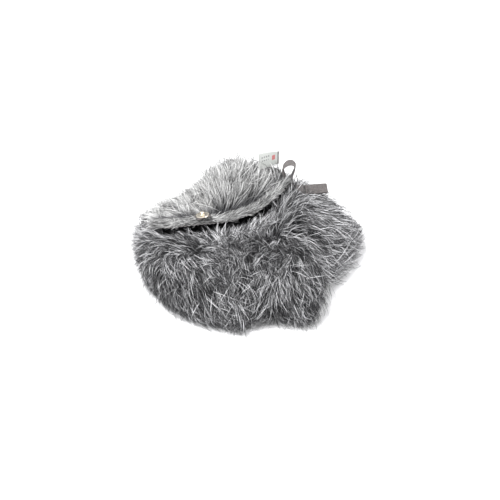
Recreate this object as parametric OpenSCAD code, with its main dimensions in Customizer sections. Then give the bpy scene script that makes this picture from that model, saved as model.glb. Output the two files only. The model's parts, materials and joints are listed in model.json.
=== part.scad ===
// Furry windscreen: a slip-on cover of long-pile fabric for a ball-shaped microphone windshield,
// lying collapsed on a table with its mouth to the top. The floor is z = 0, the mouth runs along x,
// the lower lip is towards -y and the upper lip turns on the fold at the back, towards +y.
// The fur solids are the settled pile with its knitted backing, as one closed shell each.

/* [Cover] */
// Reach of the cover to the left of its resting centre
left_reach = 87; // [84:1:104]
// Reach of the cover to the right of its resting centre
right_reach = 96; // [88:1:108]
// Reach of the cover to the front of its resting centre
front_reach = 81; // [72:1:92]
// Distance from the resting centre back to the fold under the upper lip
fold_y = 88; // [84:1:100]
// Height of the front part at its crown
front_height = 46; // [42:1:56]
// Height of the upper lip at its ridge
ridge_height = 66; // [60:1:76]
// Thickness of the fur fabric with its pile settled
fur_thickness = 15; // [12:0.5:17]
// Thickness of the underside, where the pile is pressed flat
base_thickness = 8; // [6:0.5:10]
// Thickness of the knitted lining
lining_thickness = 1.2; // [0.8:0.1:1.6]

/* [Mouth] */
// Reach of the mouth to the left
mouth_left = 66; // [60:1:68]
// Reach of the mouth to the right
mouth_right = 50; // [44:1:56]
// Free gap between the two hems
mouth_gap = 6; // [5:0.5:9]
// Outer radius of a rolled hem
hem_radius = 2.2; // [1.9:0.1:2.6]
// Wall of a rolled hem
hem_wall = 0.7; // [0.5:0.1:0.8]
// Radius of the round elastic inside a hem
elastic_radius = 1.1; // [0.8:0.1:1.2]
// Radius of the overlock thread round a hem
thread_radius = 0.3; // [0.2:0.05:0.4]

/* [Press stud] */
// Distance of the press stud to the left of the resting centre
stud_left = 28; // [20:1:36]
// Diameter of the stud's flange
stud_flange_d = 12; // [10:0.5:13]
// Diameter of the stud's knob
stud_knob_d = 4.4; // [3.6:0.2:5]
// Play of the rivet parts in each other
rivet_play = 0.1; // [0.05:0.05:0.2]

/* [Loops and label] */
// Width of the webbing of both loops
webbing_width = 9; // [7:0.5:10]
// Thickness of the webbing
webbing_thickness = 1.2; // [0.8:0.1:1.4]
// Height of the standing pull loop
pull_loop_height = 22; // [18:1:26]
// Length of the flat side loop
side_loop_length = 21; // [16:1:26]
// Width of the folded label
label_width = 20; // [14:1:24]
// Height of the folded label
label_height = 17; // [14:1:20]

/* [Hidden] */

dark_fur = [0.42, 0.42, 0.43];
light_fur = [0.66, 0.66, 0.67];
knit = [0.09, 0.09, 0.10];
webbing = [0.30, 0.28, 0.28];
thread = [0.45, 0.43, 0.42];
nickel = [0.86, 0.83, 0.76];
eps = 0.02;

// Play between the upper lip and the parts beside it
side_play = 0.4;
// The fold is a round roll that the upper lip turns on
fold_radius = 7;
fold_z = 9;
hem_outer = hem_radius + 2 * thread_radius + eps;
// How far a lip's fur stands above its hem, and the depth of its end face below that
lip_rise = 5;
lip_depth = 0.6;
lip_play = 0.5;
hem_end = 2.6;
steps = 3;
curve_steps = 4;

// Along the mouth: place from -1 at its left end to 1 at its right end, then the upper hem's y and z,
// the lower hem's z, and the ridge's height as a share of ridge_height
lip_rows = [
    [-1.00, 41, 41, 33, 0.46],
    [-0.74, 40, 39, 30, 0.67],
    [-0.48, 38, 38, 28, 0.73],
    [-0.13, 36, 35, 26, 0.98],
    [0.20, 36, 36, 27, 1.03],
    [0.52, 37, 40, 31, 0.95],
    [0.84, 39, 49, 40, 0.82],
    [1.00, 40, 54, 46, 0.74]];

// Round the resting outline, clockwise from the back left: its x and y as shares of the reaches,
// and the crown's height as a share of front_height
outline_rows = [
    [-0.89, 0.80, 0.50],
    [-0.97, 0.50, 0.64],
    [-1.00, 0.18, 0.80],
    [-0.90, -0.24, 0.88],
    [-0.70, -0.56, 0.94],
    [-0.43, -0.74, 1.00],
    [-0.10, -0.80, 1.00],
    [0.16, -0.95, 0.98],
    [0.32, -0.87, 1.00],
    [0.45, -0.63, 1.04],
    [0.71, -0.41, 1.02],
    [0.95, -0.16, 0.93],
    [1.00, 0.18, 0.86],
    [0.92, 0.52, 0.78],
    [0.72, 0.84, 0.64]];

// The mouth's sides: y of the top of each end panel, and its height there
left_sides = [[76, 22], [62, 30], [49, 37]];
right_sides = [[44, 47], [56, 43], [68, 37], [78, 30]];

first_front = len(left_sides);
last_front = first_front + len(lip_rows) - 1;
last_row = len(outline_rows) - 1;
mid_front = first_front + 3;

// A Catmull-Rom curve through the rows of a table, at row number p
function row(t, i) = t[max(0, min(len(t) - 1, i))];
function blend4(a, b, c, d, f) = b + 0.5 * f * (c - a + f * (2 * a - 5 * b + 4 * c - d
    + f * (3 * (b - c) + d - a)));
function along(t, p) = let (i = min(floor(p), len(t) - 2), f = p - i)
    blend4(row(t, i - 1), row(t, i), row(t, i + 1), row(t, i + 2), f);
function straight(t, p) = let (i = min(floor(p), len(t) - 2), f = p - i)
    row(t, i) * (1 - f) + row(t, i + 1) * f;
function smooth_points(t, n) = [for (k = [0 : n * (len(t) - 1)]) along(t, k / n)];

function mouth_x(share) = share < 0 ? share * mouth_left : share * mouth_right;
function cover_x(share) = share < 0 ? share * left_reach : share * right_reach;
function cover_y(share) = share < 0 ? share * front_reach : share * fold_y;

// Centre lines of the two hems at row number p of lip_rows
function upper_hem_at(p) = let (r = along(lip_rows, p)) [mouth_x(r[0]), r[1], r[2]];
function lower_hem_at(p) = let (r = along(lip_rows, p))
    [mouth_x(r[0]), r[1] - 2 * hem_outer - mouth_gap, r[3]];
// Row number of the place along the mouth that lies at x
function row_at(x, p = 0) = p >= len(lip_rows) - 1 || mouth_x(along(lip_rows, p)[0]) >= x
    ? p : row_at(x, p + 0.05);

// Top inner edge of the lower part, all round the opening that the upper lip fills
lip_edge = concat(
    [for (s = left_sides) [-mouth_left, s[0], s[1]]],
    [for (i = [0 : len(lip_rows) - 1]) let (h = lower_hem_at(i))
        [h[0], h[1] - hem_outer - lip_play, h[2] + lip_rise]],
    [for (s = right_sides) [mouth_right, s[0], s[1]]]);

// One cross-section of the lower part at row number p, d deep inside the fur
function section(p, d) =
    let (edge = straight(lip_edge, p),
        o = along(outline_rows, p),
        foot = [cover_x(o[0]), cover_y(o[1])],
        span = norm(foot - [edge[0], edge[1]]),
        dir = (foot - [edge[0], edge[1]]) / span,
        deep = d * min(1, 0.7 * span / (fur_thickness + 3)),
        belly = min(6, 0.15 * span),
        h = o[2] * front_height,
        c = smooth_points([
            [span - belly - deep, 0],
            [span - deep, 0.32 * h],
            [0.78 * span - 0.75 * deep, 0.82 * h - 0.75 * deep],
            [0.42 * span, h - deep],
            [0, edge[2] - lip_depth * deep]], curve_steps))
    [for (q = c) [edge[0] + dir[0] * q[0], edge[1] + dir[1] * q[0], q[1]]];

// Distance of row number p from the press stud's place, as a bell from 0 to 1
function stud_dent(x) = exp(-pow((x + stud_left) / 11, 2));

// One cross-section of the upper lip at row number p, d deep inside the fur
function lip_section(p, d) =
    let (r = along(lip_rows, p),
        x = max(-mouth_left + side_play, min(mouth_right - side_play, mouth_x(r[0]))),
        y = r[1] + hem_outer + lip_play,
        dent = stud_dent(x),
        ridge = r[4] * ridge_height,
        low = r[2] + lip_rise - dent * 4,
        share = d / fur_thickness,
        front_z = (1 - dent) * (low + 0.55 * (ridge - low)) + dent * (low + 0.5),
        c = smooth_points([
            [y, low - lip_depth * d],
            [y + 11 + 2 * share, front_z - 0.75 * d],
            [66, ridge - d],
            [fold_y - 4 - 0.9 * d, 0.62 * ridge - 0.2 * d],
            [fold_y + fold_radius - 2 * fold_radius * share, fold_z]], curve_steps))
    [for (q = c) [x, q[0], q[1]]];

// The half roll at the fold, from its outer or inner side to its lowest line
function fold_arc(x, side) = [for (a = [15 : 15 : 75])
    [x, fold_y + side * fold_radius * cos(a), fold_z - fold_radius * sin(a)]];

// A closed solid between rings that are each an outer curve and an inner curve of as many points
module shell(outer, inner) {
    n = len(outer[0]);
    m = 2 * n;
    rings = [for (k = [0 : len(outer) - 1])
        concat(outer[k], [for (j = [n - 1 : -1 : 0]) inner[k][j]])];
    last = len(rings) - 1;
    // The inner curve's squares are split the same way as the outer's, so that nested shells meet
    sides = [for (k = [0 : last - 1], j = [0 : m - 1], half = [0, 1])
        let (a = k * m + j, b = k * m + (j + 1) % m, c = b + m, e = a + m)
        j < n ? (half == 0 ? [a, b, c] : [a, c, e]) : (half == 0 ? [a, b, e] : [b, c, e])];
    caps = [for (k = [0, last], j = [0 : n - 2], half = [0, 1])
        let (a = k * m + j, b = a + 1, c = k * m + m - 2 - j, e = c + 1,
            t = half == 0 ? [a, b, c] : [a, c, e])
        k == 0 ? [t[2], t[1], t[0]] : t];
    polyhedron(points = [for (r = rings) each r], faces = concat(sides, caps));
}

// A solid round tube swept along a centre line that runs mainly along x
module swept_rod(path, radius, sides = 12) {
    n = len(path);
    points = [for (k = [0 : n - 1])
        let (t = path[min(n - 1, k + 1)] - path[max(0, k - 1)],
            along_y = cross([0, 0, 1], t) / norm(cross([0, 0, 1], t)),
            along_z = cross(t, along_y) / norm(t))
        for (j = [0 : sides - 1])
            path[k] + radius * (along_y * cos(360 * j / sides) + along_z * sin(360 * j / sides))];
    walls = [for (k = [0 : n - 2], j = [0 : sides - 1], half = [0, 1])
        let (a = k * sides + j, b = k * sides + (j + 1) % sides, c = b + sides, e = a + sides)
        half == 0 ? [a, c, b] : [a, e, c]];
    ends = [for (j = [1 : sides - 2], k = [0, n - 1])
        k == 0 ? [0, j, j + 1] : [k * sides, k * sides + j + 1, k * sides + j]];
    polyhedron(points = points, faces = concat(walls, ends));
}

// A rolled hem: a tube with the elastic's channel through it
module rolled_hem(path) {
    sides = 12;
    n = len(path);
    m = 2 * sides;
    rings = [for (k = [0 : n - 1])
        let (t = path[min(n - 1, k + 1)] - path[max(0, k - 1)],
            along_y = cross([0, 0, 1], t) / norm(cross([0, 0, 1], t)),
            along_z = cross(t, along_y) / norm(t))
        for (radius = [hem_radius, hem_radius - hem_wall], j = [0 : sides - 1])
            path[k] + radius * (along_y * cos(360 * j / sides) + along_z * sin(360 * j / sides))];
    walls = [for (k = [0 : n - 2], j = [0 : sides - 1], layer = [0, 1], half = [0, 1])
        let (o = layer * sides, a = k * m + o + j, b = k * m + o + (j + 1) % sides,
            c = b + m, e = a + m,
            t = half == 0 ? [a, c, b] : [a, e, c])
        layer == 0 ? t : [t[2], t[1], t[0]]];
    ends = [for (k = [0, n - 1], j = [0 : sides - 1], half = [0, 1])
        let (a = k * m + j, b = k * m + (j + 1) % sides, c = b + sides, e = a + sides,
            t = half == 0 ? [a, b, c] : [a, c, e])
        k == 0 ? t : [t[2], t[1], t[0]]];
    polyhedron(points = rings, faces = concat(walls, ends));
}

// One thread of the overlock stitch, a ring round the hem square to its run
module thread_ring(at, towards) {
    t = towards - at;
    translate(at)
        rotate([0, acos(t[2] / norm(t)), atan2(t[1], t[0])])
            rotate_extrude($fn = 32)
                translate([hem_radius + thread_radius + eps, 0])
                    circle(r = thread_radius, $fn = 16);
}

function hem_path(upper) = [for (k = [0 : 4 * (len(lip_rows) - 1)])
    let (q = upper ? upper_hem_at(k / 4) : lower_hem_at(k / 4))
    if (q[0] > hem_end - mouth_left && q[0] < mouth_right - hem_end) q];

module hem_threads(upper) {
    for (k = [1 : 2 * (len(lip_rows) - 1) - 1]) {
        p = k / 2;
        thread_ring(upper ? upper_hem_at(p) : lower_hem_at(p),
            upper ? upper_hem_at(p + 0.05) : lower_hem_at(p + 0.05));
    }
}

module lower_shell(from, to, outer_d, inner_d) {
    n = ceil((to - from) * steps);
    places = [for (k = [0 : n]) from + (to - from) * k / n];
    shell([for (p = places) section(p, outer_d)], [for (p = places) section(p, inner_d)]);
}

module underside_outline() {
    back = fold_y - fold_radius - lining_thickness - side_play;
    loop = [for (k = [0 : last_row * steps])
        section(k / steps, fur_thickness + lining_thickness)[0]];
    polygon(concat([for (q = loop) [q[0], q[1]]], [[mouth_right, back], [-mouth_left, back]]));
}

// Underside: the fur panel that the cover lies on, its pile pressed flat
module fur_base() {
    color(dark_fur) linear_extrude(base_thickness) underside_outline();
}

// The four panels round the front, from the left end to the right end
module fur_left_end() {
    color(dark_fur) lower_shell(0, first_front, 0, fur_thickness);
}

module fur_front_left() {
    color(dark_fur) lower_shell(first_front, mid_front, 0, fur_thickness);
}

module fur_front_right() {
    color(dark_fur) lower_shell(mid_front, last_front, 0, fur_thickness);
}

module fur_right_end() {
    color(dark_fur) lower_shell(last_front, last_row, 0, fur_thickness);
}

// Black knitted lining inside the lower part
module lining_lower() {
    color(knit) lower_shell(0, last_row, fur_thickness, fur_thickness + lining_thickness);
}

// Black knitted lining on the underside panel
module lining_base() {
    color(knit) translate([0, 0, base_thickness]) linear_extrude(lining_thickness)
        offset(delta = -0.6) underside_outline();
}

// Narrow bindings inside the seams between the panels
module seam_bindings() {
    inside = fur_thickness + lining_thickness;
    used = [curve_steps : 4 * curve_steps - 1];
    color(knit)
        for (p = [first_front, mid_front, last_front])
            shell([for (k = [-1 : 1]) let (s = section(p + k / steps, inside)) [for (j = used) s[j]]],
                [for (k = [-1 : 1]) let (s = section(p + k / steps, inside + 0.8)) [for (j = used) s[j]]]);
}

module hem_lower() {
    color(webbing) rolled_hem(hem_path(false));
}

module hem_lower_elastic() {
    color(knit) swept_rod(hem_path(false), elastic_radius);
}

module hem_lower_stitching() {
    color(thread) hem_threads(false);
}

// The stud stands on a tab over the upper hem, and its socket hangs under the lower lip
stud_row = row_at(-stud_left);
stud_hem = upper_hem_at(stud_row);
socket_hem = lower_hem_at(stud_row);
stud_post_r = 1.5;
eyelet_r = 4.2;
eyelet_t = 0.7;
tab_t = 1.0;
flange_t = 1.0;
tab_z = stud_hem[2] + hem_outer + 1.2 + eyelet_t;
stud_at = [-stud_left, stud_hem[1] + 0.5, tab_z];
stud_tilt = 16;
socket_at = [-stud_left, socket_hem[1] - 10];
socket_z = socket_hem[2] - 8;
socket_t = 2.6;

// A washer with a hollow post that the other half is riveted over, standing on z = 0
module eyelet(post) {
    rotate_extrude($fn = 48)
        polygon([[stud_post_r - 0.4, 0], [eyelet_r, 0], [eyelet_r, eyelet_t],
            [stud_post_r, eyelet_t], [stud_post_r, eyelet_t + post],
            [stud_post_r - 0.4, eyelet_t + post]]);
}

module pierced_tab(width, depth) {
    difference() {
        translate([-width / 2, -depth / 2, 0]) cube([width, depth, tab_t]);
        translate([0, 0, -1]) cylinder(r = stud_post_r + rivet_play, h = tab_t + 2, $fn = 48);
    }
}

// The male half and its tab lean back from the mouth
module stud_frame() {
    translate(stud_at) rotate([-stud_tilt, 0, 0]) children();
}

module snap_stud_tab() {
    color(webbing) stud_frame() pierced_tab(13, 11);
}

module snap_stud_eyelet() {
    color(nickel) stud_frame() translate([0, 0, -eyelet_t]) eyelet(tab_t + 0.6);
}

// The male half: a wide flange with a raised, slightly mushroomed knob
module snap_stud() {
    knob_r = stud_knob_d / 2;
    flange_r = stud_flange_d / 2;
    hole_r = stud_post_r + rivet_play;
    color(nickel) stud_frame() translate([0, 0, tab_t + eps])
        rotate_extrude($fn = 64)
            polygon([[hole_r, 0], [flange_r - 0.4, 0], [flange_r, 0.4], [flange_r - 0.3, flange_t],
                [knob_r + 0.5, flange_t], [knob_r - 0.2, flange_t + 0.5],
                [knob_r - 0.2, flange_t + 1.2], [knob_r, flange_t + 1.9],
                [knob_r - 0.5, flange_t + 2.6], [0, flange_t + 2.9], [0, flange_t], [hole_r, flange_t]]);
}

module snap_socket_patch() {
    color(webbing) translate([socket_at[0], socket_at[1], socket_z]) pierced_tab(15, 13);
}

module snap_socket_eyelet() {
    color(nickel) translate([socket_at[0], socket_at[1], socket_z + tab_t + eyelet_t])
        mirror([0, 0, 1]) eyelet(tab_t + 0.6);
}

// The female half: a cup that opens downwards, with a groove for the spring wires
module snap_socket() {
    bore_r = stud_knob_d / 2 + 0.4;
    cup_r = stud_flange_d / 2 - 0.5;
    hole_r = stud_post_r + rivet_play;
    color(nickel) translate([socket_at[0], socket_at[1], socket_z - socket_t - eps])
        rotate_extrude($fn = 64)
            polygon([[bore_r, 0], [cup_r - 0.5, 0], [cup_r, 0.6], [cup_r, socket_t],
                [hole_r, socket_t], [hole_r, socket_t - 0.7], [bore_r + 0.9, socket_t - 0.7],
                [bore_r + 0.9, 0.9], [bore_r, 0.9]]);
}

// The two spring wires that grip the knob
module snap_socket_spring() {
    wire_r = 0.25;
    reach = stud_knob_d / 2 + 0.5;
    color(nickel)
        for (side = [-1, 1])
            translate([socket_at[0] + side * (stud_knob_d / 2), socket_at[1], socket_z - socket_t + 1.3])
                rotate([90, 0, 0]) cylinder(r = wire_r, h = 2 * (reach - 1), center = true, $fn = 24);
}

// The upper lip: the fur panel between the mouth and the fold at the back
module fur_upper_lip() {
    n = 2 * steps * (len(lip_rows) - 1);
    places = [for (k = [0 : n]) k * (len(lip_rows) - 1) / n];
    color(light_fur) shell(
        [for (p = places) let (s = lip_section(p, 0)) concat(s, fold_arc(s[0][0], 1))],
        [for (p = places) let (s = lip_section(p, fur_thickness)) concat(s, fold_arc(s[0][0], -1))]);
}

// Black knitted lining inside the upper lip, ending above the fold
module lining_upper() {
    n = 2 * steps * (len(lip_rows) - 1);
    places = [for (k = [0 : n]) k * (len(lip_rows) - 1) / n];
    count = 4 * curve_steps - 2;
    color(knit) shell(
        [for (p = places) let (s = lip_section(p, fur_thickness)) [for (j = [0 : count]) s[j]]],
        [for (p = places) let (s = lip_section(p, fur_thickness + lining_thickness))
            [for (j = [0 : count]) s[j]]]);
}

module hem_upper() {
    color(webbing) rolled_hem(hem_path(true));
}

module hem_upper_elastic() {
    color(knit) swept_rod(hem_path(true), elastic_radius);
}

module hem_upper_stitching() {
    color(thread) hem_threads(true);
}

// The pull loop stands at the mouth's right end, its eye facing the front
pull_at = [mouth_right + 5, 46, 51];
pull_eye_r = 6.5;
pull_foot_r = 1.6;
anchor_t = 1.2;

module pull_loop_profile(inset) {
    hull() {
        circle(r = pull_foot_r - inset * 0.9, $fn = 32);
        translate([0, pull_loop_height - pull_foot_r - pull_eye_r])
            circle(r = pull_eye_r - inset, $fn = 48);
    }
}

module pull_loop() {
    color(webbing) translate(pull_at) rotate([90, 0, 0])
        linear_extrude(webbing_width, center = true)
            difference() {
                pull_loop_profile(0);
                intersection() {
                    pull_loop_profile(webbing_thickness);
                    translate([-10, 4.5]) square([20, 40]);
                }
            }
}

module pull_loop_bar_tack() {
    lean = asin((pull_eye_r - pull_foot_r) / (pull_loop_height - pull_foot_r - pull_eye_r));
    thread_r = 0.25;
    color(thread) translate(pull_at)
        for (side = [-1, 1], k = [-3 : 3])
            rotate([0, side * lean, 0]) translate([side * (pull_foot_r + thread_r + eps), k * 1.1, 2.5])
                cylinder(r = thread_r, h = 3, center = true, $fn = 16);
}

module pull_loop_anchor() {
    color(webbing) translate([pull_at[0], pull_at[1], pull_at[2] - pull_foot_r - 0.4 - anchor_t])
        translate([-4.5, -webbing_width / 2, 0]) cube([9, webbing_width, anchor_t]);
}

// The side loop lies flat on the right end, folded double and pointing to the right.
// It rises and sinks with the slope that the front panels' height gives that end.
side_at = [66, 33, 19.74 + 0.61 * front_height];
side_tilt = 40;
side_drop = 14;
side_gap = 0.8;

module side_frame() {
    translate(side_at) rotate([0, side_drop, 0]) rotate([side_tilt, 0, 0]) children();
}

module side_loop() {
    end_r = webbing_thickness + side_gap / 2;
    color(webbing) side_frame() rotate([90, 0, 0])
        linear_extrude(webbing_width, center = true)
            difference() {
                union() {
                    circle(r = end_r, $fn = 32);
                    translate([0, -end_r]) square([side_loop_length - end_r, 2 * end_r]);
                    translate([side_loop_length - end_r, 0]) circle(r = end_r, $fn = 32);
                }
                translate([4, -side_gap / 2]) square([side_loop_length - 4 - end_r, side_gap]);
                translate([side_loop_length - end_r, 0]) circle(r = side_gap / 2, $fn = 24);
            }
}

module side_loop_bar_tack() {
    color(thread) side_frame()
        for (side = [-1, 1], k = [-3 : 3])
            translate([2.4, k * 1.1, side * (webbing_thickness + side_gap / 2 + 0.28)])
                rotate([0, 90, 0]) cylinder(r = 0.25, h = 3, center = true, $fn = 16);
}

module side_loop_anchor() {
    color(webbing) side_frame()
        translate([-webbing_thickness - side_gap / 2 - 0.4 - 7, -webbing_width / 2, -0.9])
            cube([7, webbing_width, 1.8]);
}

// The folded label stands in the seam at the upper lip's right end
label_at = [42, 60, 0.82 * ridge_height + 7];
label_t = 0.5;
label_gap = 0.5;
label_turn = 8;

module label_frame() {
    translate(label_at) rotate([0, 0, label_turn]) children();
}

module label() {
    end_r = label_t + label_gap / 2;
    color("white") label_frame() rotate([90, 0, 90])
        linear_extrude(label_width, center = true)
            difference() {
                union() {
                    translate([-end_r, 0]) square([2 * end_r, label_height - end_r]);
                    translate([0, label_height - end_r]) circle(r = end_r, $fn = 32);
                    circle(r = end_r, $fn = 32);
                }
                translate([-label_gap / 2, 2]) square([label_gap, label_height - 2 - end_r]);
            }
}

module label_stitching() {
    color(thread) label_frame()
        for (k = [-5 : 5])
            translate([k * label_width / 12, 0, -label_t - label_gap / 2 - 0.7])
                rotate([0, 90, 0]) cylinder(r = 0.3, h = 1.2, center = true, $fn = 16);
}

fur_base();
fur_left_end();
fur_front_left();
fur_front_right();
fur_right_end();
lining_lower();
lining_base();
seam_bindings();
hem_lower();
hem_lower_elastic();
hem_lower_stitching();
snap_socket_patch();
snap_socket();
snap_socket_spring();
snap_socket_eyelet();
pull_loop_anchor();
side_loop_anchor();
fur_upper_lip();
lining_upper();
hem_upper();
hem_upper_elastic();
hem_upper_stitching();
snap_stud_tab();
snap_stud();
snap_stud_eyelet();
label_stitching();
pull_loop();
pull_loop_bar_tack();
side_loop();
side_loop_bar_tack();
label();
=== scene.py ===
import json
import math

import bmesh
import bpy
import numpy as np
from mathutils import Matrix, Vector
from mathutils.bvhtree import BVHTree
from mathutils.kdtree import KDTree


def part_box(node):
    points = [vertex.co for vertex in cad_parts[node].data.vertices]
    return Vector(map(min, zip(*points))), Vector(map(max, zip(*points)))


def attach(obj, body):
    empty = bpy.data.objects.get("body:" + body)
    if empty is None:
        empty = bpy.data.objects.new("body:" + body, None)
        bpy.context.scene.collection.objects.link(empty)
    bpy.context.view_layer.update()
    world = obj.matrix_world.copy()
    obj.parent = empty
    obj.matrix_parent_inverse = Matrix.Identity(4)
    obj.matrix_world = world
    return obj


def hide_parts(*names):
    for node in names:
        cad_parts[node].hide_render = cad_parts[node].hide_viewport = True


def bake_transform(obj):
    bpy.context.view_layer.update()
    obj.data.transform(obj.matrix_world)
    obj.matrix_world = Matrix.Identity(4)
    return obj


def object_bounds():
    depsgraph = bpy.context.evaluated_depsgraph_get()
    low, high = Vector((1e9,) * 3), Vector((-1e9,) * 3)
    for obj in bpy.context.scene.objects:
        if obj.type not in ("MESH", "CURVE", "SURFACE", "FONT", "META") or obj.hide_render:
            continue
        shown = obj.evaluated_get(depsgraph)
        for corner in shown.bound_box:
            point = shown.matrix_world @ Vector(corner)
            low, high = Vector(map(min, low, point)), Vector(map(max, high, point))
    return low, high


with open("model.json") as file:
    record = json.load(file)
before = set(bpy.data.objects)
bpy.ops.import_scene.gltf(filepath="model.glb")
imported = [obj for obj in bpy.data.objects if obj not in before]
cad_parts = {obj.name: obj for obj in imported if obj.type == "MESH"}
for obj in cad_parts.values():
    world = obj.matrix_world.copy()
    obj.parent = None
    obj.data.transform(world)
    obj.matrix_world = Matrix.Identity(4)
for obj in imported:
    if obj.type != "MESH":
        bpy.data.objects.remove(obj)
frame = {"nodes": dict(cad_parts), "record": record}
cad_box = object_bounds()
scene = bpy.context.scene
MM = 0.001

# --- Camera, floor and light ---------------------------------------------------------
# A long lens looks down on the cover from its front left.
# The floor is plain and nearly white, under one large soft light and a bright room.
view_turn, view_rise = math.radians(-22), math.radians(40)
back = Vector((math.sin(view_turn) * math.cos(view_rise),
    -math.cos(view_turn) * math.cos(view_rise), math.sin(view_rise)))
camera_data = bpy.data.cameras.new("camera")
camera_data.lens = 85
camera_data.sensor_width = 36
camera_data.clip_start = 0.05
camera_data.clip_end = 20
camera = bpy.data.objects.new("camera", camera_data)
camera.rotation_mode = "QUATERNION"
camera.rotation_quaternion = (-back).to_track_quat("-Z", "Y")
look_at = Vector((0.0048, 0.0118, 0.0152))
camera.location = look_at + back * 1.015
scene.collection.objects.link(camera)
scene.camera = camera


def flat_material(name, color, roughness):
    mat = bpy.data.materials.new(name)
    mat.use_nodes = True
    bsdf = mat.node_tree.nodes["Principled BSDF"]
    bsdf.inputs["Base Color"].default_value = (*color, 1)
    bsdf.inputs["Roughness"].default_value = roughness
    return mat


floor_mesh = bpy.data.meshes.new("floor")
floor_mesh.from_pydata([(-4, -4, 0), (4, -4, 0), (4, 4, 0), (-4, 4, 0)], [], [(0, 1, 2, 3)])
floor = bpy.data.objects.new("floor", floor_mesh)
floor.location.z = -0.0002
floor_mesh.materials.append(flat_material("floor_paper", (0.93, 0.93, 0.94), 0.9))
scene.collection.objects.link(floor)

world = bpy.data.worlds.new("room")
world.use_nodes = True
world.node_tree.nodes["Background"].inputs["Color"].default_value = (1.0, 1.0, 1.0, 1)
world.node_tree.nodes["Background"].inputs["Strength"].default_value = 1.0
scene.world = world
scene.view_settings.view_transform = "Standard"


def soft_light(name, at, size, power):
    data = bpy.data.lights.new(name, "AREA")
    data.shape = "DISK"
    data.size = size
    data.energy = power
    lamp = bpy.data.objects.new(name, data)
    lamp.location = at
    lamp.rotation_mode = "QUATERNION"
    lamp.rotation_quaternion = (Vector(at) - look_at).to_track_quat("Z", "Y")
    scene.collection.objects.link(lamp)


soft_light("key", (-0.5, -0.1, 1.2), 0.6, 20)
soft_light("fill", (0.9, -0.8, 0.8), 0.8, 5)


# --- Fur panels of the lower part and the upper lip ----------------------------------
# Each panel is a knitted backing with a long pile sewn into the cover. The pile is made
# strand by strand, in tufts that follow the way the pile lies on that part of the cover.
NODES = frame["nodes"]
LOWER = ["fur_left_end", "fur_front_left", "fur_front_right", "fur_right_end"]
UPPER = ["fur_upper_lip"]
rng = np.random.default_rng(7)


def unit(v):
    return v / np.maximum(np.linalg.norm(v, axis=-1, keepdims=True), 1e-12)


def triangles(obj):
    """The corners of an object in millimetres, and the corner numbers of its triangles."""
    mesh = obj.data
    mesh.calc_loop_triangles()
    co = np.zeros(len(mesh.vertices) * 3)
    mesh.vertices.foreach_get("co", co)
    tri = np.zeros(len(mesh.loop_triangles) * 3, np.int32)
    mesh.loop_triangles.foreach_get("vertices", tri)
    return co.reshape(-1, 3) / MM, tri.reshape(-1, 3)


def blockers():
    """Every fabric solid of the cover, to tell its outside from its inside."""
    verts, faces, start = [], [], 0
    for name in LOWER + UPPER + ["lining_lower", "lining_upper", "fur_base"]:
        co, tri = triangles(NODES[name])
        verts += [Vector(c) for c in co]
        faces += [tuple(int(i) + start for i in t) for t in tri]
        start += len(co)
    return BVHTree.FromPolygons(verts, faces)


solid = blockers()


def outside(name):
    """Corners, normals and areas of the panel's faces that carry pile."""
    co, tri = triangles(NODES[name])
    p = co[tri]
    cross = np.cross(p[:, 1] - p[:, 0], p[:, 2] - p[:, 0])
    area = np.linalg.norm(cross, axis=1) / 2
    normal = unit(cross)
    centre = p.mean(1)
    keep = []
    for k in range(len(tri)):
        if area[k] < 1e-4 or (normal[k, 2] < -0.55 and centre[k, 2] < 8):
            continue
        n = Vector(normal[k])
        if solid.ray_cast(Vector(centre[k]) + n * 1.0, n, 220)[0] is None:
            keep.append(k)
    return p[keep], normal[keep], area[keep]


def scatter(corners, area, count):
    """Random points on a set of triangles, and the triangle that each lies on."""
    pick = rng.choice(len(area), count, p=area / area.sum())
    u, v = rng.random((2, count))
    flip = u + v > 1
    u[flip], v[flip] = 1 - u[flip], 1 - v[flip]
    c = corners[pick]
    return c[:, 0] + (c[:, 1] - c[:, 0]) * u[:, None] + (c[:, 2] - c[:, 0]) * v[:, None], pick


SKIN = {name: outside(name) for name in LOWER + UPPER}
CELL = 4.0
grid_low = np.array(cad_box[0]) / MM - 24
grid_shape = np.ceil((np.array(cad_box[1]) / MM + 24 - grid_low) / CELL).astype(int) + 1


def cover_grid():
    """The cover's outward direction, and the height above its surface, on a grid of points."""
    points, normals = [], []
    for corners, normal, area in SKIN.values():
        at, pick = scatter(corners, area, int(area.sum() / 3.5))
        points.append(at)
        normals.append(normal[pick])
    points, normals = np.concatenate(points), np.concatenate(normals)
    tree = KDTree(len(points))
    for k, p in enumerate(points):
        tree.insert(Vector(p), k)
    tree.balance()
    field = np.zeros((*grid_shape, 4))
    for i, j, k in np.ndindex(*grid_shape):
        at = grid_low + CELL * np.array((i, j, k))
        found = tree.find_n(Vector(at), 12)
        near = [f[1] for f in found]
        weight = np.array([1 / (2 + f[2]) ** 2 for f in found])
        n = (normals[near] * weight[:, None]).sum(0)
        height = ((at - points[near]) * normals[near]).sum(1) @ weight / weight.sum()
        field[i, j, k] = *(n / max(np.linalg.norm(n), 1e-9)), height
    return field


COVER = cover_grid()


def cover_at(points):
    """Outward directions and heights above the cover's surface, between the grid's points."""
    f = ((points - grid_low) / CELL).clip(0, grid_shape - 1.001)
    i = f.astype(int)
    f = f - i
    out = 0
    for dx, dy, dz in np.ndindex(2, 2, 2):
        w = np.abs(1 - dx - f[:, 0]) * np.abs(1 - dy - f[:, 1]) * np.abs(1 - dz - f[:, 2])
        out = out + COVER[i[:, 0] + dx, i[:, 1] + dy, i[:, 2] + dz] * w[:, None]
    return unit(out[:, :3]), out[:, 3]


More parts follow.
